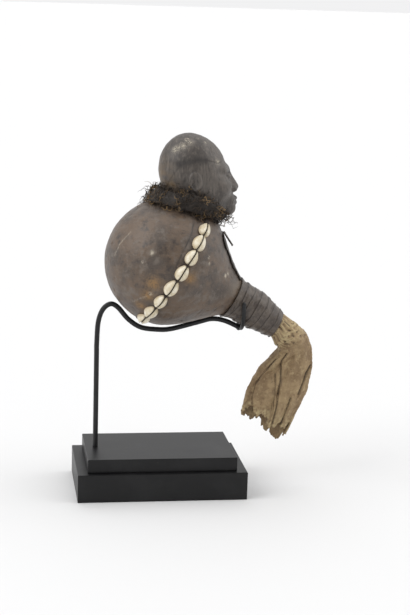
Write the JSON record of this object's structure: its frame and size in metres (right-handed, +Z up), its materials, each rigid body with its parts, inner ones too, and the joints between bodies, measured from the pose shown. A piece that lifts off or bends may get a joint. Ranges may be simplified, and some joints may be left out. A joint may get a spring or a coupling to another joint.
{
  "type": "power figure",
  "caption": "Small carved head plugged into a hollow gourd with a shell belt, fibre collar, bound neck and rawhide tail, lying in a bent rod cradle on a stepped black base.",
  "frame": {"origin": "middle of the lower board's underside", "axes": "+Z up; +X along the base's long side, the way the head faces and the gourd's neck points; +Y across the base, away from the side that shows the shell belt"},
  "size_m": [0.2846, 0.1586, 0.425],
  "materials": {
    "black_board": "smooth satin black lacquer",
    "cradle_rod": "satin black paint on bent steel rod",
    "gourd_skin": "dried gourd, dark brown and handled to a soft sheen",
    "carved_wood": "dark carved wood with a worn, waxy sheen and chalky traces",
    "plant_fibre": "tangled curly brown plant fibre",
    "belt_thong": "dark twisted thong, dull",
    "binding_strip": "dark brown strip wound wet and dried hard, soft sheen",
    "strap_leather": "dark leather strap, smooth from handling",
    "rawhide": "tan rawhide dried stiff in folds, pitted, with pale torn edges",
    "cowrie_shell": "glossy ivory cowrie shell, open side out"
  },
  "bodies": {
    "root": {"base_lower_board": "black_board", "base_upper_board": "black_board", "cradle_rod": "cradle_rod", "gourd": "gourd_skin", "carved_head": "carved_wood", "fibre_collar": "plant_fibre", "shell_thong": "belt_thong", "neck_binding": "binding_strip", "leather_strap": "strap_leather", "thong_end": "strap_leather", "rawhide_sleeve": "rawhide", "cowrie_1": "cowrie_shell", "cowrie_2": "cowrie_shell", "cowrie_3": "cowrie_shell", "cowrie_4": "cowrie_shell", "cowrie_5": "cowrie_shell", "cowrie_6": "cowrie_shell", "cowrie_7": "cowrie_shell", "cowrie_8": "cowrie_shell"}
  },
  "joints": []
}
